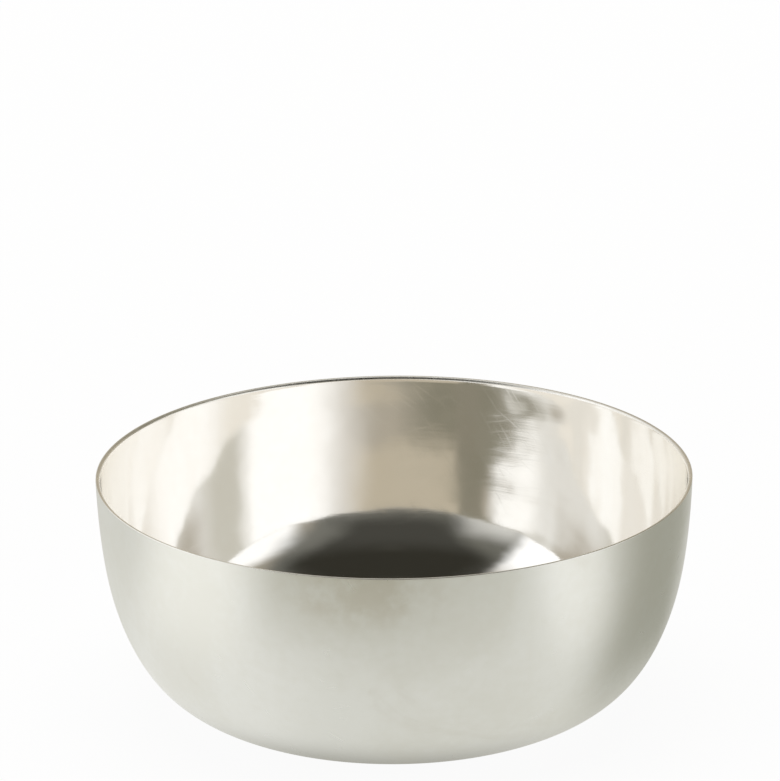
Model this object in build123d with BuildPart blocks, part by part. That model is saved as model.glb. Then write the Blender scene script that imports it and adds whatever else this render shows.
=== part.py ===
"""Offering bowl: one piece of silver sheet, raised to a flat base, a round belly and a thin upright rim.

Millimetres, +Z up. The origin is the middle of the flat base, on the surface that the bowl stands on.
"""

import os
from math import acos, cos, degrees, radians, sin

from build123d import *

# Driving dimensions
rim_diameter = 100.0  # outside, at the top edge
height = 39.4  # from the resting surface to the top edge
wall = 0.7  # thickness of the sheet, the same all over
rim_lean = 0.85  # degrees that the wall leans outwards at the top edge
collar_radius = 110.0  # outside, the almost upright wall below the rim
collar_length = 17.2  # measured along the wall from the top edge down
shoulder_radius = 40.3  # outside, the slow curve under the collar
belly_radius = 17.5  # outside, the round turn from the shoulder into the base
rim_rounding = 0.43  # share of the wall that the filed rim takes off each of its two corners

# The belly turns the wall through this angle, and the shoulder through the rest,
# so that together they take up the height that the collar leaves.
collar_turn = degrees(collar_length / collar_radius)
lean_at_rim = radians(rim_lean)
lean_at_shoulder = radians(rim_lean + collar_turn)
shoulder_top = height - collar_radius * (sin(lean_at_shoulder) - sin(lean_at_rim))
belly_top_rise = shoulder_top + shoulder_radius * sin(lean_at_shoulder) - belly_radius
belly_turn = degrees(acos(belly_top_rise / (shoulder_radius - belly_radius)))
shoulder_turn = 90 - rim_lean - collar_turn - belly_turn

with BuildPart() as bowl:
    # Outside of the bowl as a solid form, drawn from the rim down to the base
    with BuildSketch(Plane.XZ):
        with BuildLine():
            rim = (rim_diameter / 2, height)
            down_the_wall = (-sin(lean_at_rim), -cos(lean_at_rim))
            collar = JernArc(rim, down_the_wall, collar_radius, -collar_turn)
            shoulder = JernArc(collar @ 1, collar % 1, shoulder_radius, -shoulder_turn)
            belly = JernArc(shoulder @ 1, shoulder % 1, belly_radius, -belly_turn)
            Polyline(belly @ 1, (0, 0), (0, height), rim)
        make_face()
    revolve(axis=Axis.Z)

    # The form is hollowed to the thickness of the sheet, open at the top
    offset(amount=-wall, openings=bowl.faces().sort_by(Axis.Z)[-1])

    # Both corners of the cut edge are filed round
    rim_face = bowl.faces().filter_by(Axis.Z).sort_by(Axis.Z)[-1]
    fillet(rim_face.edges(), radius=rim_rounding * wall)

bowl.part.label = "bowl"

os.makedirs("parts", exist_ok=True)
export_step(bowl.part, "parts/bowl.step")

base_face = bowl.faces().filter_by(Axis.Z).sort_by(Axis.Z)[0]
print(f"flat base diameter {base_face.bounding_box().size.X:.2f} mm, sheet volume {bowl.part.volume:.0f} mm3")
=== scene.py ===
"""Offering bowl of raised silver, satin outside and polished inside, on a pale floor in soft studio light.

Metres, +Z up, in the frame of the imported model: the origin is the middle of the flat base.
"""
from collections import namedtuple
from math import atan, cos, erf, pi, radians, sin, sqrt

import bmesh
import bpy
from mathutils import Matrix, Vector


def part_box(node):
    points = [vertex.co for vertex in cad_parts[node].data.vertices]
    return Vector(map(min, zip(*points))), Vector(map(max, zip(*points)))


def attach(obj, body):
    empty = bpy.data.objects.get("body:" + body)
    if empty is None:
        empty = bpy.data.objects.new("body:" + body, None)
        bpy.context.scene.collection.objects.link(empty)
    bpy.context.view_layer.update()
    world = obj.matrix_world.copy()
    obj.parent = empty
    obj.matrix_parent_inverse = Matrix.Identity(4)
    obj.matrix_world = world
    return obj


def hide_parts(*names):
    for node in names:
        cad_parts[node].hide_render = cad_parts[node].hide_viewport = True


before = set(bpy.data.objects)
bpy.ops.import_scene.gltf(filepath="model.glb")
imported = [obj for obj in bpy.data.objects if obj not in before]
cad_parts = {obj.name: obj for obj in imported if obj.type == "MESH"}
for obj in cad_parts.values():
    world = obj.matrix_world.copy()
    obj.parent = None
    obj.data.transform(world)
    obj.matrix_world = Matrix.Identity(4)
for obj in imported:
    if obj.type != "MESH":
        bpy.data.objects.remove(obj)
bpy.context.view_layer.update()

MM = 0.001

# Wall of the bowl: the curves of the solid, run into each other as raising leaves them.
# Measured down the wall from the rim, the sheet keeps its thickness to the first distance
# and is stretched thinner by the second.
WALL = 0.7 * MM
BELLY_WALL = 0.26 * MM
THINNING = (16.0 * MM, 33.0 * MM)
RIM_LEAN = radians(1.29)
COLLAR_RADIUS = 137.0 * MM
COLLAR_LENGTH_RANGE = (8.0 * MM, 24.0 * MM)
SHOULDER_RADIUS = 45.1 * MM
SHOULDER_LENGTH = 16.6 * MM
BELLY_RADIUS = 16.8 * MM
EASE = 4.1 * MM

# Radii to which the cut edge is filed: more on the inside than on the outside
RIM_OUTER = 0.15 * MM
RIM_INNER = WALL - RIM_OUTER

# Mesh of the bowl
WALK_STEP = 0.05 * MM
STATION_STEP = 0.45 * MM
BASE_STATIONS = 14
RIM_STATIONS = 15
SEAM_REACH = 0.001 * MM
SEGMENTS = 240
HALVINGS = 40  # of the range in which the collar's length is found

# Unevenness that raising by hand leaves: a slow sway of the whole wall, always inwards,
# and planishing marks in the inside face, which fade out towards the rim and the belly
DENT_DEPTH = 0.43 * MM
DENT_SIZE = 24.0 * MM
DENT_DETAIL = 0.3
SWAY_DEPTH = 0.12 * MM
SWAY_SIZE = 60.0 * MM
SWAY_DETAIL = 0.0
LEVEL_BASE = (3.0 * MM, 12.0 * MM)
DENT_RISE = (8.0 * MM, 20.0 * MM)
DENT_RIM = (39.0 * MM, 33.0 * MM)
SEED = 6
SEED_STEP = 3.7  # in the clouds, from one seed to the next

# Sides of the bowl, as numbers at the profile's points. A face has the mean of its points' numbers,
# and the faces that lead up to the rim count as rim.
OUTSIDE, RIM, INSIDE = 0, 1, 2
SIDE_SLACK = 0.25

# Camera, from the ellipse of the rim in the photo
IMAGE_WIDTH, IMAGE_HEIGHT = 780, 781
FOCAL_PIXELS = 4177.0
SENSOR_WIDTH = 36.0
RIM_PIXEL = (393.93, 470.40)
RIM_DISTANCE = 0.700
RIM_ELEVATION = radians(19.883)
CAMERA_ROLL = 0.0078
CLIP_START = 0.01

# A Mix node's sockets for colours
MIX_FIRST, MIX_SECOND, MIX_RESULT = 6, 7, 2


def put(tree, kind, inputs=None, **settings):
    """Adds a node, sets its options, and sets or links its inputs."""
    made = tree.nodes.new(kind)
    for name, value in settings.items():
        setattr(made, name, value)
    for name, value in (inputs or {}).items():
        if isinstance(value, bpy.types.NodeSocket):
            tree.links.new(value, made.inputs[name])
        else:
            made.inputs[name].default_value = value
    return made


def calc(tree, operation, *values):
    """A Math node's result, from sockets or numbers."""
    return put(tree, "ShaderNodeMath", dict(enumerate(values)), operation=operation).outputs[0]


def ramp(tree, value, low, high, start=0.0, end=1.0):
    """A smooth step of value from low to high, given out as start to end."""
    inputs = {"Value": value, "From Min": low, "From Max": high, "To Min": start, "To Max": end}
    return put(tree, "ShaderNodeMapRange", inputs, interpolation_type="SMOOTHSTEP").outputs["Result"]


def blend(tree, mask, first, second):
    """Two colours mixed by a mask."""
    inputs = {"Factor": mask, MIX_FIRST: first, MIX_SECOND: second}
    return put(tree, "ShaderNodeMix", inputs, data_type="RGBA").outputs[MIX_RESULT]


def noise(tree, vector, scale, detail=2.0, roughness=0.5, distortion=0.0):
    """Soft clouds from 0 to 1; the scale is their number in a unit of the vector."""
    inputs = {
        "Vector": vector, "Scale": scale, "Detail": detail, "Roughness": roughness,
        "Distortion": distortion,
    }
    return put(tree, "ShaderNodeTexNoise", inputs).outputs["Fac"]


def split(tree, vector):
    """The X, Y and Z of a vector."""
    return put(tree, "ShaderNodeSeparateXYZ", {"Vector": vector}).outputs


def level_part(tree, apart):
    """The part of a vector that lies level, from its X and Y."""
    return put(tree, "ShaderNodeCombineXYZ", {"X": apart["X"], "Y": apart["Y"]}).outputs["Vector"]


def length(tree, vector):
    """The length of a vector."""
    return put(tree, "ShaderNodeVectorMath", {0: vector}, operation="LENGTH").outputs["Value"]


def grey(level):
    """A grey as a colour with alpha."""
    return (level, level, level, 1.0)


def place(name, mesh):
    """An object for a mesh, put into the scene."""
    made = bpy.data.objects.new(name, mesh)
    bpy.context.scene.collection.objects.link(made)
    return made


# The bowl's shape

def rim_radius():
    """Outer radius of the mouth."""
    low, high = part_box("bowl")
    return (high.x - low.x) / 2


def walk_down(collar_length, height):
    """Outer wall from the rim to the flat base, as (radius, height, lean) at every step."""
    radius = rim_radius() - RIM_OUTER * (1 - cos(RIM_LEAN))
    z = height
    lean = RIM_LEAN
    walked = 0.0
    line = []
    while lean < pi / 2:
        line.append((radius, z, lean))
        into_shoulder = 0.5 + 0.5 * erf((walked - collar_length) / (EASE * sqrt(2)))
        into_belly = 0.5 + 0.5 * erf((walked - collar_length - SHOULDER_LENGTH) / (EASE * sqrt(2)))
        bend = 1 / COLLAR_RADIUS
        bend += (1 / SHOULDER_RADIUS - 1 / COLLAR_RADIUS) * into_shoulder
        bend += (1 / BELLY_RADIUS - 1 / SHOULDER_RADIUS) * into_belly
        lean += bend * WALK_STEP
        radius -= sin(lean) * WALK_STEP
        z -= cos(lean) * WALK_STEP
        walked += WALK_STEP
    return line


def sheet_at(walked):
    """Thickness of the sheet at a distance down the wall from the rim."""
    start, end = THINNING
    share = min(max((walked - start) / (end - start), 0.0), 1.0)
    share = share * share * (3 - 2 * share)
    return WALL + (BELLY_WALL - WALL) * share


def wall_line():
    """The outer wall whose collar is as long as the bowl's height needs."""
    low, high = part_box("bowl")
    top = high.z - RIM_OUTER * (1 + sin(RIM_LEAN))
    shorter, longer = COLLAR_LENGTH_RANGE
    for _ in range(HALVINGS):
        middle = (shorter + longer) / 2
        line = walk_down(middle, top)
        if line[-1][1] > low.z:
            shorter = middle
        else:
            longer = middle
    return line


def bowl_profile():
    """Half of the bowl's section from the middle of the base round to the middle of the floor inside.

    Gives points as (radius, height, side of the bowl).
    """
    every = round(STATION_STEP / WALK_STEP)
    line = wall_line()
    stations = line[::every]
    base_radius = line[-1][0]
    base_steps = [base_radius * k / BASE_STATIONS for k in range(BASE_STATIONS + 1)]
    points = [(r, 0.0, OUTSIDE) for r in base_steps]
    points += [(r, max(z, 0.0), OUTSIDE) for r, z, lean in reversed(stations)]
    top_radius, top, lean = stations[0]
    out = Vector((cos(lean), -sin(lean)))
    up = Vector((sin(lean), cos(lean)))
    crest = Vector((top_radius, top)) - out * RIM_OUTER + up * RIM_OUTER
    for k in range(1, RIM_STATIONS):
        turn = pi * k / RIM_STATIONS
        filed = RIM_OUTER if turn < pi / 2 else RIM_INNER
        edge = crest + (out * cos(turn) + up * (sin(turn) - 1)) * filed
        points.append((edge.x, edge.y, RIM))
    for k, (radius, z, lean) in enumerate(stations):
        walked = k * every * WALK_STEP
        if walked > RIM_INNER - RIM_OUTER:
            sheet = sheet_at(walked)
            points.append((radius - sheet * cos(lean), max(z, 0.0) + sheet * sin(lean), INSIDE))
    points += [(r, BELLY_WALL, INSIDE) for r in reversed(base_steps)]
    return points


def lathe_tree():
    """Geometry nodes that turn a profile about the Z axis, then let the wall sway and dent a little."""
    tree = bpy.data.node_groups.new("turn_and_raise", "GeometryNodeTree")
    face = tree.interface
    face.new_socket("Geometry", in_out="OUTPUT", socket_type="NodeSocketGeometry")
    face.new_socket("Profile", in_out="INPUT", socket_type="NodeSocketGeometry")
    face.new_socket("Segments", in_out="INPUT", socket_type="NodeSocketInt")
    lengths = (
        "Dent depth", "Dent size", "Sway depth", "Sway size", "Level below", "Free above",
        "No dents below", "Dents above", "Dents below rim", "No dents at rim",
    )
    for name in lengths:
        face.new_socket(name, in_out="INPUT", socket_type="NodeSocketFloat")
    face.new_socket("Seed", in_out="INPUT", socket_type="NodeSocketInt")
    for name in ("Outside", "Rim", "Inside"):
        face.new_socket(name, in_out="INPUT", socket_type="NodeSocketMaterial")
    given = put(tree, "NodeGroupInput").outputs

    # A sheet with one row for each station of the profile and one column for each segment
    size = put(tree, "GeometryNodeAttributeDomainSize", {"Geometry": given["Profile"]}, component="MESH")
    stations = size.outputs["Point Count"]
    columns = calc(tree, "ADD", given["Segments"], 1)
    sheet = put(tree, "GeometryNodeMeshGrid", {"Vertices X": columns, "Vertices Y": stations})
    index = put(tree, "GeometryNodeInputIndex").outputs["Index"]
    station = calc(tree, "FLOORED_MODULO", index, stations)
    column = calc(tree, "FLOOR", calc(tree, "DIVIDE", calc(tree, "ADD", index, 0.5), stations))

    # The sheet is rolled up about the axis, each row at its station's radius and height
    here = put(tree, "GeometryNodeInputPosition").outputs["Position"]
    of_station = {"Geometry": given["Profile"], "Value": here, "Index": station}
    sampled = put(tree, "GeometryNodeSampleIndex", of_station, data_type="FLOAT_VECTOR")
    turn = calc(tree, "MULTIPLY", calc(tree, "DIVIDE", column, given["Segments"]), 2 * pi)
    about = {"Vector": sampled.outputs["Value"], "Angle": turn}
    rolled = put(tree, "ShaderNodeVectorRotate", about, rotation_type="Z_AXIS").outputs["Vector"]
    moved = put(tree, "GeometryNodeSetPosition", {"Geometry": sheet.outputs["Mesh"], "Position": rolled})

    # Each station's side of the bowl goes with its points
    read = put(tree, "GeometryNodeInputNamedAttribute", {"Name": "side"}, data_type="INT")
    of_station["Value"] = read.outputs["Attribute"]
    side = put(tree, "GeometryNodeSampleIndex", of_station, data_type="INT")
    kept = {"Geometry": moved.outputs["Geometry"], "Name": "side", "Value": side.outputs["Value"]}
    marked = put(tree, "GeometryNodeStoreNamedAttribute", kept, data_type="INT", domain="POINT")
    loose = {"Geometry": marked.outputs["Geometry"], "Distance": SEAM_REACH}
    joined = put(tree, "GeometryNodeMergeByDistance", loose)
    read = put(tree, "GeometryNodeInputNamedAttribute", {"Name": "side"}, data_type="FLOAT")
    of_bowl = read.outputs["Attribute"]

    # The sway moves both faces of the wall inwards alike, and leaves the base level
    seed = calc(tree, "MULTIPLY", given["Seed"], SEED_STEP)
    clouds = {}
    for name, detail in (("Dent", DENT_DETAIL), ("Sway", SWAY_DETAIL)):
        scale = calc(tree, "DIVIDE", 1.0, given[f"{name} size"])
        inputs = {"Vector": here, "W": seed, "Scale": scale, "Detail": detail}
        clouds[name] = put(tree, "ShaderNodeTexNoise", inputs, noise_dimensions="4D").outputs["Fac"]
    apart = split(tree, here)
    free = ramp(tree, apart["Z"], given["Level below"], given["Free above"])
    sway = calc(tree, "MULTIPLY", calc(tree, "MULTIPLY", clouds["Sway"], given["Sway depth"]), free)

    # The planishing marks lie in the inside face alone
    marked_face = calc(tree, "GREATER_THAN", of_bowl, (RIM + INSIDE) / 2)
    risen = ramp(tree, apart["Z"], given["No dents below"], given["Dents above"])
    under_rim = ramp(tree, apart["Z"], given["Dents below rim"], given["No dents at rim"], 1.0, 0.0)
    share = calc(tree, "MULTIPLY", calc(tree, "MULTIPLY", risen, under_rim), marked_face)
    dent = calc(tree, "MULTIPLY", calc(tree, "SUBTRACT", clouds["Dent"], 0.5), given["Dent depth"])
    depth = calc(tree, "MULTIPLY_ADD", dent, share, sway)
    outwards = put(tree, "ShaderNodeVectorMath", {0: level_part(tree, apart)}, operation="NORMALIZE")
    inwards = {0: outwards.outputs["Vector"], "Scale": calc(tree, "MULTIPLY", depth, -1.0)}
    shift = put(tree, "ShaderNodeVectorMath", inwards, operation="SCALE").outputs["Vector"]
    raised = put(tree, "GeometryNodeSetPosition", {"Geometry": joined.outputs["Geometry"], "Offset": shift})
    smooth = put(tree, "GeometryNodeSetShadeSmooth", {"Geometry": raised.outputs["Geometry"]})
    real = put(tree, "GeometryNodeRealizeInstances", {"Geometry": smooth.outputs["Geometry"]})

    # One finish for each side
    last = real.outputs["Geometry"]
    picks = {
        "Outside": calc(tree, "LESS_THAN", of_bowl, OUTSIDE + SIDE_SLACK),
        "Inside": calc(tree, "GREATER_THAN", of_bowl, INSIDE - SIDE_SLACK),
        "Rim": calc(tree, "COMPARE", of_bowl, RIM, 1 - SIDE_SLACK),
    }
    for name, pick in picks.items():
        dressed = {"Geometry": last, "Selection": pick, "Material": given[name]}
        last = put(tree, "GeometryNodeSetMaterial", dressed).outputs["Geometry"]
    put(tree, "NodeGroupOutput", {"Geometry": last})
    return tree


def set_inputs(modifier, values):
    """Sets a modifier's inputs by the identifiers of their sockets."""
    for item in modifier.node_group.interface.items_tree:
        if item.item_type == "SOCKET" and item.in_out == "INPUT" and item.name in values:
            modifier[item.identifier] = values[item.name]


def make_bowl(satin, filed, polished):
    """The bowl as one closed mesh, turned from its profile."""
    profile = bpy.data.meshes.new("bowl_profile")
    points = bowl_profile()
    edges = [(k, k + 1) for k in range(len(points) - 1)]
    profile.from_pydata([(r, 0.0, z) for r, z, side in points], edges, [])
    sides = profile.attributes.new("side", "INT", "POINT")
    sides.data.foreach_set("value", [side for r, z, side in points])
    blank = place("bowl_blank", profile)

    raising = blank.modifiers.new("raising", "NODES")
    raising.node_group = lathe_tree()
    set_inputs(raising, {
        "Segments": SEGMENTS, "Seed": SEED,
        "Dent depth": DENT_DEPTH, "Dent size": DENT_SIZE,
        "Sway depth": SWAY_DEPTH, "Sway size": SWAY_SIZE,
        "Level below": LEVEL_BASE[0], "Free above": LEVEL_BASE[1],
        "No dents below": DENT_RISE[0], "Dents above": DENT_RISE[1],
        "Dents below rim": DENT_RIM[1], "No dents at rim": DENT_RIM[0],
        "Outside": satin, "Rim": filed, "Inside": polished,
    })
    seen = blank.evaluated_get(bpy.context.evaluated_depsgraph_get())
    mesh = bpy.data.meshes.new_from_object(seen)
    mesh.name = "silver_bowl"
    bpy.data.objects.remove(blank)

    # All faces turned outwards
    shell = bmesh.new()
    shell.from_mesh(mesh)
    bmesh.ops.recalc_face_normals(shell, faces=shell.faces)
    shell.to_mesh(mesh)
    shell.free()
    return place("silver_bowl", mesh)


# Effects that the finishes share

VALUE, COLOUR, VECTOR = "NodeSocketFloat", "NodeSocketColor", "NodeSocketVector"

# Drift of the tone: how much finer the fine clouds are, their share, and the level from bright to dull
TONE_FINER, TONE_FINE_SHARE = 14.0, 0.25
TONE_EDGE = (0.36, 0.66)

# Smudges: cloud level above which they lie with no cover, how far full cover lowers it, and their edge
SMUDGE_BARE, SMUDGE_LOWER, SMUDGE_EDGE = 0.85, 0.6, 0.22

# Scratches: the turns of their three directions, in radians about X, Y and Z, and their edge
SCRATCH_TURNS = ((0.3, 0.5, 0.4), (1.1, -0.6, 1.9), (-0.5, 0.9, 2.8))
SCRATCH_EDGE = 0.08


def group(name, inputs, outputs):
    """A shader node group with named sockets, and the sockets that it is given."""
    tree = bpy.data.node_groups.new(name, "ShaderNodeTree")
    for label, kind in inputs.items():
        tree.interface.new_socket(label, in_out="INPUT", socket_type=kind)
    for label, kind in outputs.items():
        tree.interface.new_socket(label, in_out="OUTPUT", socket_type=kind)
    return tree, put(tree, "NodeGroupInput").outputs


def use(tree, grouped, inputs):
    """Places a node group in a material."""
    return put(tree, "ShaderNodeGroup", inputs, node_tree=grouped).outputs


def silver_tone_group():
    """Slow drift of the metal's colour between a bright and a dull tone."""
    tree, given = group(
        "silver_tone",
        {"Vector": VECTOR, "Bright": COLOUR, "Dull": COLOUR, "Size": VALUE},
        {"Color": COLOUR, "Dullness": VALUE},
    )
    scale = calc(tree, "DIVIDE", 1.0, given["Size"])
    slow = noise(tree, given["Vector"], scale, detail=4.0, roughness=0.55, distortion=0.6)
    fine = noise(tree, given["Vector"], calc(tree, "MULTIPLY", scale, TONE_FINER), detail=3.0)
    slow_part = calc(tree, "MULTIPLY", slow, 1 - TONE_FINE_SHARE)
    mask = ramp(tree, calc(tree, "MULTIPLY_ADD", fine, TONE_FINE_SHARE, slow_part), *TONE_EDGE)
    colour = blend(tree, mask, given["Bright"], given["Dull"])
    put(tree, "NodeGroupOutput", {"Color": colour, "Dullness": mask})
    return tree


def smudge_group():
    """Hazy patches that hands and cloths leave, as a mask from 0 to 1."""
    tree, given = group("hand_smudges", {"Vector": VECTOR, "Size": VALUE, "Cover": VALUE}, {"Mask": VALUE})
    scale = calc(tree, "DIVIDE", 1.0, given["Size"])
    patch = noise(tree, given["Vector"], scale, detail=5.0, roughness=0.6, distortion=1.2)
    low = calc(tree, "SUBTRACT", SMUDGE_BARE, calc(tree, "MULTIPLY", given["Cover"], SMUDGE_LOWER))
    mask = ramp(tree, patch, low, calc(tree, "ADD", low, SMUDGE_EDGE))
    put(tree, "NodeGroupOutput", {"Mask": mask})
    return tree


def scratch_group():
    """Fine straight scratches in three directions, as a mask from 0 to 1."""
    tree, given = group(
        "fine_scratches",
        {"Vector": VECTOR, "Spacing": VALUE, "Length": VALUE, "Rarity": VALUE},
        {"Mask": VALUE},
    )
    across = calc(tree, "DIVIDE", 1.0, given["Spacing"])
    along = calc(tree, "DIVIDE", 1.0, given["Length"])
    stretch = put(tree, "ShaderNodeCombineXYZ", {"X": across, "Y": along, "Z": along}).outputs["Vector"]
    full = calc(tree, "ADD", given["Rarity"], SCRATCH_EDGE)
    marks = []
    for turn in SCRATCH_TURNS:
        about = {"Vector": given["Vector"], "Rotation": turn}
        turned = put(tree, "ShaderNodeVectorRotate", about, rotation_type="EULER_XYZ").outputs["Vector"]
        laid = put(tree, "ShaderNodeVectorMath", {0: turned, 1: stretch}, operation="MULTIPLY")
        line = noise(tree, laid.outputs["Vector"], 1.0, detail=0.0)
        marks.append(ramp(tree, line, given["Rarity"], full))
    total = marks[0]
    for mark in marks[1:]:
        total = calc(tree, "MAXIMUM", total, mark)
    put(tree, "NodeGroupOutput", {"Mask": total})
    return tree


# Finishes

# Each finish: tones of the metal, smudges, scratches, the roughness of the plain metal with what dull
# tones, smudges, scratches and polishing strokes add to it, and the strength and depth of its relief
SATIN = {
    "tone": {"Bright": (0.84, 0.84, 0.805, 1), "Dull": (0.81, 0.805, 0.755, 1), "Size": 22 * MM},
    "smudges": {"Size": 16 * MM, "Cover": 0.45},
    "scratches": {"Spacing": 0.5 * MM, "Length": 5 * MM, "Rarity": 0.80},
    "roughness": {"plain": 0.29, "dull": 0.04, "smudged": 0.05, "scratched": -0.04},
    "relief": (0.25, 0.02 * MM),
}
POLISHED = {
    "tone": {"Bright": (0.975, 0.972, 0.962, 1), "Dull": (0.96, 0.95, 0.93, 1), "Size": 30 * MM},
    "smudges": {"Size": 14 * MM, "Cover": 0.40},
    "scratches": {"Spacing": 0.4 * MM, "Length": 10 * MM, "Rarity": 0.70},
    "roughness": {"plain": 0.045, "dull": 0.02, "smudged": 0.04, "scratched": 0.025, "stroked": 0.02},
    "relief": (0.30, 0.009 * MM),
}
FILED = {
    "tone": {"Bright": (0.93, 0.925, 0.90, 1), "Dull": (0.84, 0.83, 0.79, 1), "Size": 12 * MM},
    "smudges": {"Size": 8 * MM, "Cover": 0.30},
    "scratches": {"Spacing": 0.4 * MM, "Length": 4 * MM, "Rarity": 0.60},
    "roughness": {"plain": 0.26, "dull": 0.05, "smudged": 0.03, "scratched": 0.05},
    "relief": (0.05, 0.01 * MM),
}

# How far the rubbing draws out reflections, and in which direction, in turns
SATIN_STRETCH, SATIN_TURN = 0.75, 0.25
SATIN_GRAIN = 2200.0  # grains in a metre
SATIN_GRAIN_HEIGHT, SATIN_SCRATCH_HEIGHT = 0.15, -0.12
SMUDGE_COLOUR, SMUDGE_SHARE = (0.70, 0.66, 0.58, 1), 0.2

# Tarnish: its colour and share, its clouds in a metre and the levels between which they fill in, the
# place of the thumb that left it, its reach, and the shares of that reach over which it fades
TARNISH_COLOUR, TARNISH_SHARE = (0.66, 0.62, 0.53, 1), 0.55
TARNISH_CLOUDS, TARNISH_FILL = 160.0, (0.30, 0.62)
THUMB_PLACE = (-5.0 * MM, -49.0 * MM, 36.5 * MM)
THUMB_REACH = (17.0 * MM, 16.0 * MM, 7.5 * MM)
THUMB_FADE = (0.3, 1.0)

# Strokes in a metre, along twice and across, and ripples in a metre where the cloth pressed unevenly.
# Heights are times that of a stroke.
POLISH_STROKE = (60.0, 60.0, 900.0)
POLISH_RIPPLES = 98.0
RIPPLE_HEIGHT, POLISH_SCRATCH_HEIGHT = 22.0, -0.05

# A metal that is being made: its nodes, its finish, and a mask for each kind of wear
Metal = namedtuple("Metal", "material tree shader where colour worn finish")


def empty_material(name):
    """A material with an empty node tree, that tree, and the Object coordinates in it."""
    material = bpy.data.materials.new(name)
    material.use_nodes = True
    tree = material.node_tree
    tree.nodes.clear()
    return material, tree, put(tree, "ShaderNodeTexCoord").outputs["Object"]


def worn_metal(name, finish, effects):
    """A metal with the tone and wear of its finish."""
    material, tree, where = empty_material(name)
    tone, smudges, scratches = effects
    drift = use(tree, tone, {"Vector": where, **finish["tone"]})
    shader = put(tree, "ShaderNodeBsdfPrincipled", {"Metallic": 1.0, "Base Color": drift["Color"]})
    put(tree, "ShaderNodeOutputMaterial", {"Surface": shader.outputs["BSDF"]})
    worn = {
        "dull": drift["Dullness"],
        "smudged": use(tree, smudges, {"Vector": where, **finish["smudges"]})["Mask"],
        "scratched": use(tree, scratches, {"Vector": where, **finish["scratches"]})["Mask"],
    }
    return Metal(material, tree, shader, where, drift["Color"], worn, finish)


def roughen(metal):
    """Sets the roughness: the plain metal's, and a share of each kind of wear."""
    amounts = metal.finish["roughness"]
    total = amounts["plain"]
    for kind, mask in metal.worn.items():
        total = calc(metal.tree, "MULTIPLY_ADD", mask, amounts[kind], total)
    metal.tree.links.new(total, metal.shader.inputs["Roughness"])


def emboss(metal, height):
    """Gives the metal a fine relief."""
    strength, depth = metal.finish["relief"]
    bump = put(metal.tree, "ShaderNodeBump", {"Strength": strength, "Distance": depth, "Height": height})
    metal.tree.links.new(bump.outputs["Normal"], metal.shader.inputs["Normal"])


def tarnish_mask(tree, where):
    """Where a thumb holds the bowl, under the front of the rim."""
    patch = {"Vector": where, "Location": THUMB_PLACE, "Scale": THUMB_REACH}
    centred = put(tree, "ShaderNodeMapping", patch, vector_type="TEXTURE").outputs["Vector"]
    held = ramp(tree, length(tree, centred), *THUMB_FADE, 1.0, 0.0)
    clouds = noise(tree, where, TARNISH_CLOUDS, detail=4.0, roughness=0.6)
    return calc(tree, "MULTIPLY", held, ramp(tree, clouds, *TARNISH_FILL))


def satin_silver(effects):
    """Outside: rubbed round and round with a fine abrasive, then handled."""
    metal = worn_metal("satin_silver", SATIN, effects)
    tree, shader, worn = metal.tree, metal.shader, metal.worn
    smudged = calc(tree, "MULTIPLY", worn["smudged"], SMUDGE_SHARE)
    colour = blend(tree, smudged, metal.colour, SMUDGE_COLOUR)
    tarnished = calc(tree, "MULTIPLY", tarnish_mask(tree, metal.where), TARNISH_SHARE)
    colour = blend(tree, tarnished, colour, TARNISH_COLOUR)
    tree.links.new(colour, shader.inputs["Base Color"])
    roughen(metal)
    shader.inputs["Anisotropic"].default_value = SATIN_STRETCH
    shader.inputs["Anisotropic Rotation"].default_value = SATIN_TURN
    tangent = put(tree, "ShaderNodeTangent", direction_type="RADIAL", axis="Z")
    tree.links.new(tangent.outputs["Tangent"], shader.inputs["Tangent"])
    grain = calc(tree, "MULTIPLY", noise(tree, metal.where, SATIN_GRAIN), SATIN_GRAIN_HEIGHT)
    emboss(metal, calc(tree, "MULTIPLY_ADD", worn["scratched"], SATIN_SCRATCH_HEIGHT, grain))
    return metal.material


def polish_strokes(tree, where):
    """Strokes of a cloth that went round and round: level on the wall and in rings on the floor."""
    apart = split(tree, where)
    across = calc(tree, "ADD", length(tree, level_part(tree, apart)), apart["Z"])
    spot = put(tree, "ShaderNodeCombineXYZ", {"X": apart["X"], "Y": apart["Y"], "Z": across})
    stretch = {0: spot.outputs["Vector"], 1: POLISH_STROKE}
    laid = put(tree, "ShaderNodeVectorMath", stretch, operation="MULTIPLY").outputs["Vector"]
    return noise(tree, laid, 1.0, detail=3.0, roughness=0.65)


def polished_silver(effects):
    """Inside: polished, with the light haze of cleaning."""
    metal = worn_metal("polished_silver", POLISHED, effects)
    tree, worn = metal.tree, metal.worn
    worn["stroked"] = polish_strokes(tree, metal.where)
    roughen(metal)
    height = calc(tree, "MULTIPLY_ADD", worn["scratched"], POLISH_SCRATCH_HEIGHT, worn["stroked"])
    ripples = noise(tree, metal.where, POLISH_RIPPLES, detail=1.5)
    emboss(metal, calc(tree, "MULTIPLY_ADD", ripples, RIPPLE_HEIGHT, height))
    return metal.material


def filed_silver(effects):
    """The cut edge: filed round and burnished, worn bright."""
    metal = worn_metal("filed_silver", FILED, effects)
    roughen(metal)
    emboss(metal, metal.worn["scratched"])
    return metal.material


# Studio

FLOOR_HALF = 6.0
FLOOR_DROP = 0.1 * MM
FLOOR_WHITE = 0.94
PAPER_GREYS = (0.80, 0.86)
PAPER_FIBRES = 900.0  # in a metre
PAPER_ROUGHNESS = 0.4
WASH_SIZE = 1.6
WASH_POWER = 22.0
WASH_PLACE = (0.0, 0.3, 1.6)
WORLD_LIGHT = 0.6
TENT_RADIUS = 3.0
TENT_SEGMENTS, TENT_RINGS = 64, 32
TENT_HEM = -0.01  # what hangs lower is cut off
REFLECTIONS = 24  # as deep as the polished hollow reflects itself

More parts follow.
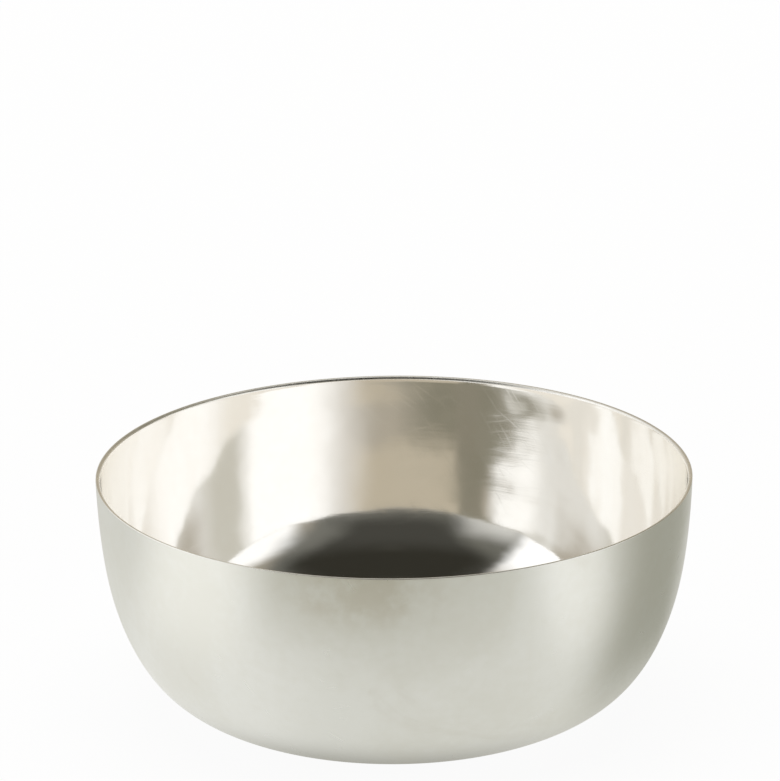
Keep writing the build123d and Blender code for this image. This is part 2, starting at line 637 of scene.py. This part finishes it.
# Panels of the light tent, laid one over another: colour, azimuth of the middle, half width, lean of the
# sides in degrees for each degree up, bottom and top edge, then how softly the sides and the level edges
# run out.
# Degrees; azimuth 0 is behind the bowl, 90 at its right and 180 at the camera.
TENT_GROUND = (0.43, 0.39, 0.32, 1)
BACK_PANELS = {
    "overhead": ((0.82, 0.81, 0.77, 1), 0, 180, 0, 55, 100, 2, 20),
    "backdrop": ((0.53, 0.47, 0.365, 1), 10, 46, 0, -10, 24, 20, 4),
    "olive": ((0.235, 0.22, 0.165, 1), 56, 44, 0, 22.6, 52, 44, 3),
    "dark_gap": ((0.255, 0.235, 0.18, 1), 62, 9, 0, -10, 36, 7, 8),
}
SOFTBOXES = {
    "left": ((1.14, 1.13, 1.11, 1), 258, 60, 0, -10, 48, 60, 25),
    "right": ((1.10, 1.09, 1.06, 1), 116, 21, 0, -10, 31, 12, 9),
    "right_low": ((1.10, 1.09, 1.06, 1), 92, 14, 0, -10, 20.6, 12, 2),
}
# What only a first reflection shows: the dim room round the camera
ROOM_PANELS = {
    "low": ((0.15, 0.147, 0.125, 1), 192, 46, 0, 8, 80, 9, 6),
    "slant": ((0.17, 0.167, 0.145, 1), 173.5, 24, -1.7, 14, 80, 30, 6),
    "low_glow": ((0.66, 0.65, 0.61, 1), 224, 14, 0, -10, 23, 16, 14),
    "middle_left": ((0.060, 0.058, 0.049, 1), 190, 24, -1.65, 19, 80, 26, 12),
    "middle_right": ((0.060, 0.058, 0.049, 1), 177, 24, 1.2, 19, 80, 20, 12),
    "high": ((0.032, 0.030, 0.023, 1), 176, 58, 0, 38, 80, 30, 18),
}
# What only a second reflection shows: cloth hung below the camera, the softbox's dim upper half, and
# the slanting edge of the olive cloth
FRONT_PANELS = {
    "softbox_top": ((0.62, 0.60, 0.54, 1), 118, 20, 0, 21.2, 60, 26, 2.5),
    "olive_slant": ((0.235, 0.22, 0.165, 1), 56, 14, 8, 19, 60, 22, 2),
    "cloth": ((0.80, 0.785, 0.74, 1), 168, 50, 0, -10, 22, 24, 6),
    "fold": ((0.60, 0.58, 0.51, 1), 213, 19, 0, -10, 40, 22, 6),
}
DEEP_PAINTED_GLOW = (1.08, 1.05, 0.99, 1)  # painted glow for the hollow's deep reflections, in the third reflection and on
DEEP_SHARE = 0.72
# How far the panels' edges stray sideways and up, and their folds in a tent's radius
TENT_RUMPLE = (4.0, 0.8, 3.0)

# The same for the card that lies round the bowl, which glows with painted floor light and shade: colour,
# azimuth of the middle, half width, softness.
# An edge is the distance from the middle at which something begins and at which it is full.
CARD_GROUND = (0.79, 0.79, 0.75, 1)
# Painted pool of light from the left softbox on the card near the bowl
CARD_NEAR_LEFT_LIGHT = ((0.88, 0.88, 0.85, 1), 243, 36, 30)
# Painted shade on the card far from the bowl, darkest in front
CARD_FAR_SHADE_BANDS = {
    "back": ((0.70, 0.70, 0.66, 1), 0, 100, 60),
    "front_right": ((0.62, 0.62, 0.56, 1), 160, 24, 24),
    "front_left": ((0.48, 0.47, 0.39, 1), 200, 28, 26),
}
CARD_FAR_SHADE_EDGE = (0.080, 0.140)
# Painted strips of softbox light, towards the left and right softboxes
CARD_LIGHT_STRIPS = {
    "left": ((1.06, 1.06, 1.03, 1), 249, 20, 24),
    "right": ((1.02, 1.02, 0.99, 1), 119, 13, 14),
}
CARD_LIGHT_STRIP_EDGE = (0.060, 0.098)
# Painted shadow that the bowl casts to its right, away from the left softbox
CARD_CAST_SHADOW = ((0.40, 0.40, 0.345, 1), 119, 25, 26)
CARD_CAST_SHADOW_TURN = -0.4  # degrees that the painted shadow turns for each millimetre outwards, up to its reach
CARD_CAST_SHADOW_REACH = 120.0
CARD_CAST_SHADOW_EDGE = (0.026, 0.068)
CARD_SHADES = {
    "all_round": ((0.62, 0.615, 0.58, 1), 0, 180, 1),
    "front": ((0.38, 0.375, 0.34, 1), 184, 36, 50),
}
CARD_SHADE_EDGE = (0.045, 0.031)
CARD_INNER, CARD_OUTER = 0.004, 1.5
CARD_SEGMENTS = 96


def soft_panel_group():
    """A soft-edged panel on the tent or the card, as a mask."""
    labels = (
        "Azimuth", "Elevation", "Middle", "Half width", "Lean", "Bottom", "Top",
        "Side softness", "Level softness",
    )
    tree, given = group("soft_panel", {label: VALUE for label in labels}, {"Mask": VALUE})

    def edge(value, limit, softness, start, end):
        half = calc(tree, "MULTIPLY", given[softness], 0.5)
        low = calc(tree, "SUBTRACT", given[limit], half)
        return ramp(tree, value, low, calc(tree, "ADD", given[limit], half), start, end)

    risen = calc(tree, "SUBTRACT", given["Elevation"], given["Bottom"])
    middle = calc(tree, "MULTIPLY_ADD", risen, given["Lean"], given["Middle"])
    off = calc(tree, "WRAP", calc(tree, "SUBTRACT", given["Azimuth"], middle), 180.0, -180.0)
    sides = edge(calc(tree, "ABSOLUTE", off), "Half width", "Side softness", 1.0, 0.0)
    below = edge(given["Elevation"], "Top", "Level softness", 1.0, 0.0)
    above = edge(given["Elevation"], "Bottom", "Level softness", 0.0, 1.0)
    mask = calc(tree, "MULTIPLY", sides, calc(tree, "MULTIPLY", below, above))
    put(tree, "NodeGroupOutput", {"Mask": mask})
    return tree


def azimuth_at(tree, apart):
    """Degrees round the bowl."""
    return calc(tree, "DEGREES", calc(tree, "ARCTAN2", apart["X"], apart["Y"]))


def light_up(material, colour):
    """Makes a material shine by itself, without being sampled as a lamp."""
    tree = material.node_tree
    material.cycles.emission_sampling = "NONE"
    glow = put(tree, "ShaderNodeEmission", {"Color": colour, "Strength": 1.0})
    put(tree, "ShaderNodeOutputMaterial", {"Surface": glow.outputs["Emission"]})


def tent_cloth(panel):
    """The tent's cloth, lit in panels."""
    material, tree, where = empty_material("tent_cloth")
    apart = split(tree, where)
    sine = calc(tree, "DIVIDE", apart["Z"], TENT_RADIUS)
    elevation = calc(tree, "DEGREES", calc(tree, "ARCSINE", sine))
    sideways, upwards, folds = TENT_RUMPLE
    rumple = noise(tree, where, folds / TENT_RADIUS, detail=3.0, roughness=0.6)
    stray = calc(tree, "SUBTRACT", rumple, 0.5)
    azimuth = calc(tree, "MULTIPLY_ADD", stray, 2 * sideways, azimuth_at(tree, apart))
    elevation = calc(tree, "MULTIPLY_ADD", stray, 2 * upwards, elevation)
    # Ray Depth is 1 in the first reflection, 2 in the second and so on
    depth = put(tree, "ShaderNodeLightPath").outputs["Ray Depth"]
    first = calc(tree, "LESS_THAN", depth, 1.5)
    second = calc(tree, "COMPARE", depth, 2.0, 0.5)
    deeper = calc(tree, "GREATER_THAN", depth, 2.5)

    def hang(colour, panels, share=None):
        for tint, middle, half, lean, bottom, top, side_soft, level_soft in panels.values():
            mask = use(tree, panel, {
                "Azimuth": azimuth, "Elevation": elevation, "Middle": middle, "Half width": half,
                "Lean": lean, "Bottom": bottom, "Top": top,
                "Side softness": side_soft, "Level softness": level_soft,
            })["Mask"]
            if share:
                mask = calc(tree, "MULTIPLY", mask, share)
            colour = blend(tree, mask, colour, tint)
        return colour

    colour = hang(TENT_GROUND, BACK_PANELS)
    # Painted glow for the hollow's deep reflections, from the third reflection on
    colour = blend(tree, calc(tree, "MULTIPLY", deeper, DEEP_SHARE), colour, DEEP_PAINTED_GLOW)
    colour = hang(colour, SOFTBOXES)
    colour = hang(colour, FRONT_PANELS, second)
    colour = hang(colour, ROOM_PANELS, first)
    light_up(material, colour)
    return material


def light_tent(panel):
    """A wide dome of cloth round the bowl; the camera looks through it."""
    mesh = bpy.data.meshes.new("light_tent")
    shell = bmesh.new()
    bmesh.ops.create_uvsphere(
        shell, u_segments=TENT_SEGMENTS, v_segments=TENT_RINGS, radius=TENT_RADIUS)
    under = [v for v in shell.verts if v.co.z < TENT_HEM]
    bmesh.ops.delete(shell, geom=under, context="VERTS")
    shell.to_mesh(mesh)
    shell.free()
    mesh.materials.append(tent_cloth(panel))
    tent = place("light_tent", mesh)
    tent.visible_camera = False
    tent.visible_shadow = False


def painted_floor_light(panel):
    """The card's glow of painted floor light and shade, in bands that run outwards."""
    material, tree, where = empty_material("painted_floor_light")
    azimuth = azimuth_at(tree, split(tree, where))
    distance = length(tree, where)
    outwards = calc(tree, "MINIMUM", calc(tree, "DIVIDE", distance, MM), CARD_CAST_SHADOW_REACH)

    def band(colour, made, edge=None, turn=0.0):
        tint, middle, half, soft = made
        mask = use(tree, panel, {
            "Azimuth": azimuth, "Elevation": outwards, "Middle": middle, "Half width": half, "Lean": turn,
            "Bottom": 0.0, "Top": 2 * CARD_CAST_SHADOW_REACH, "Side softness": soft, "Level softness": 1.0,
        })["Mask"]
        if edge:
            mask = calc(tree, "MULTIPLY", mask, ramp(tree, distance, *edge))
        return blend(tree, mask, colour, tint)

    # Painted pool of light near the left, over the card's plain grey
    colour = band(CARD_GROUND, CARD_NEAR_LEFT_LIGHT)
    # Painted shade far out
    for made in CARD_FAR_SHADE_BANDS.values():
        colour = band(colour, made, CARD_FAR_SHADE_EDGE)
    # Painted strips of softbox light
    for made in CARD_LIGHT_STRIPS.values():
        colour = band(colour, made, CARD_LIGHT_STRIP_EDGE)
    # Painted shadow of the bowl, turning as it runs outwards
    colour = band(colour, CARD_CAST_SHADOW, CARD_CAST_SHADOW_EDGE, CARD_CAST_SHADOW_TURN)
    for made in CARD_SHADES.values():
        colour = band(colour, made, CARD_SHADE_EDGE)
    light_up(material, colour)
    return material


def reflection_card(panel):
    """A flat ring of glowing card on the floor that only the metal sees; its painted floor light and shade
    give the satin wall its bands as painted reflections.
    """
    mesh = bpy.data.meshes.new("reflection_card")
    ring = bmesh.new()
    turns = [2 * pi * k / CARD_SEGMENTS for k in range(CARD_SEGMENTS)]
    around = [Vector((cos(turn), sin(turn), 0.0)) for turn in turns]
    inner, outer = [[ring.verts.new(way * radius) for way in around] for radius in (CARD_INNER, CARD_OUTER)]
    for k in range(CARD_SEGMENTS):
        after = (k + 1) % CARD_SEGMENTS
        ring.faces.new((inner[k], outer[k], outer[after], inner[after]))
    ring.to_mesh(mesh)
    ring.free()
    mesh.materials.append(painted_floor_light(panel))
    card = place("reflection_card", mesh)
    card.visible_camera = False
    card.visible_diffuse = False
    card.visible_shadow = False


def bright_share(tree, share):
    """The share of plain white that the camera, metal and glass see."""
    path = put(tree, "ShaderNodeLightPath").outputs
    seen = calc(tree, "MAXIMUM", path["Is Camera Ray"], path["Is Glossy Ray"])
    seen = calc(tree, "MAXIMUM", seen, path["Is Transmission Ray"])
    return calc(tree, "MULTIPLY", seen, share)


def white_paper():
    """Paper with fine fibres, almost white to the eye."""
    material, tree, where = empty_material("white_paper")
    fibre = noise(tree, where, PAPER_FIBRES, detail=3.0)
    paper = blend(tree, fibre, *[grey(level) for level in PAPER_GREYS])
    lit = put(tree, "ShaderNodeBsdfDiffuse", {"Color": paper, "Roughness": PAPER_ROUGHNESS})
    white = put(tree, "ShaderNodeEmission", {"Color": grey(1.0), "Strength": 1.0})
    both = {0: bright_share(tree, FLOOR_WHITE), 1: lit.outputs["BSDF"], 2: white.outputs["Emission"]}
    share = put(tree, "ShaderNodeMixShader", both)
    put(tree, "ShaderNodeOutputMaterial", {"Surface": share.outputs["Shader"]})
    return material


def pale_floor():
    """A wide sheet of white paper that keeps a trace of the bowl's shadow."""
    mesh = bpy.data.meshes.new("paper_floor")
    reach = FLOOR_HALF
    corners = [(-reach, -reach), (reach, -reach), (reach, reach), (-reach, reach)]
    mesh.from_pydata([(x, y, -FLOOR_DROP) for x, y in corners], [], [(0, 1, 2, 3)])
    mesh.materials.append(white_paper())
    place("paper_floor", mesh)


def floor_wash():
    """A wide lamp overhead for the paper floor alone."""
    lamp = bpy.data.lights.new("floor_wash", "AREA")
    lamp.shape = "DISK"
    lamp.size = WASH_SIZE
    lamp.energy = WASH_POWER
    hung = place("floor_wash", lamp)
    hung.location = WASH_PLACE
    hung.visible_glossy = False


def pale_world():
    """A plain white surround, dimmer where it lights than where it is seen."""
    world = bpy.data.worlds.new("pale_world")
    bpy.context.scene.world = world
    world.use_nodes = True
    tree = world.node_tree
    tree.nodes.clear()
    level = calc(tree, "ADD", bright_share(tree, 1 - WORLD_LIGHT), WORLD_LIGHT)
    back = put(tree, "ShaderNodeBackground", {"Color": grey(1.0), "Strength": level})
    put(tree, "ShaderNodeOutputWorld", {"Surface": back.outputs["Background"]})


def camera():
    """A long lens at the photo's angle, turned so that the middle of the rim falls where it does there."""
    low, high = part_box("bowl")
    right_of_middle = (RIM_PIXEL[0] - IMAGE_WIDTH / 2) / FOCAL_PIXELS
    above_middle = -(RIM_PIXEL[1] - IMAGE_HEIGHT / 2) / FOCAL_PIXELS
    side = cos(CAMERA_ROLL) * right_of_middle + sin(CAMERA_ROLL) * above_middle
    rise = -sin(CAMERA_ROLL) * right_of_middle + cos(CAMERA_ROLL) * above_middle
    pitch = RIM_ELEVATION - atan(-rise)
    ahead = Vector((0, cos(pitch), -sin(pitch)))
    up = Vector((0, sin(pitch), cos(pitch)))
    right = Vector((1, 0, 0))
    to_rim = (ahead + right * side + up * rise).normalized()
    lens = bpy.data.cameras.new("camera")
    lens.sensor_fit = "HORIZONTAL"
    lens.sensor_width = SENSOR_WIDTH
    lens.lens = FOCAL_PIXELS / IMAGE_WIDTH * SENSOR_WIDTH
    lens.clip_start = CLIP_START
    eye = place("camera", lens)
    stand = Matrix.Translation(Vector((0, 0, high.z)) - to_rim * RIM_DISTANCE)
    facing = Matrix((right, up, -ahead)).transposed().to_4x4()
    eye.matrix_world = stand @ facing @ Matrix.Rotation(-CAMERA_ROLL, 4, "Z")
    bpy.context.scene.camera = eye


bpy.context.scene.view_settings.view_transform = "Standard"
bpy.context.scene.cycles.max_bounces = REFLECTIONS
bpy.context.scene.cycles.glossy_bounces = REFLECTIONS
effects = (silver_tone_group(), smudge_group(), scratch_group())
bowl = make_bowl(satin_silver(effects), filed_silver(effects), polished_silver(effects))
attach(bowl, "root")
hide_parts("bowl")
panel = soft_panel_group()
pale_floor()
light_tent(panel)
reflection_card(panel)
floor_wash()
pale_world()
camera()
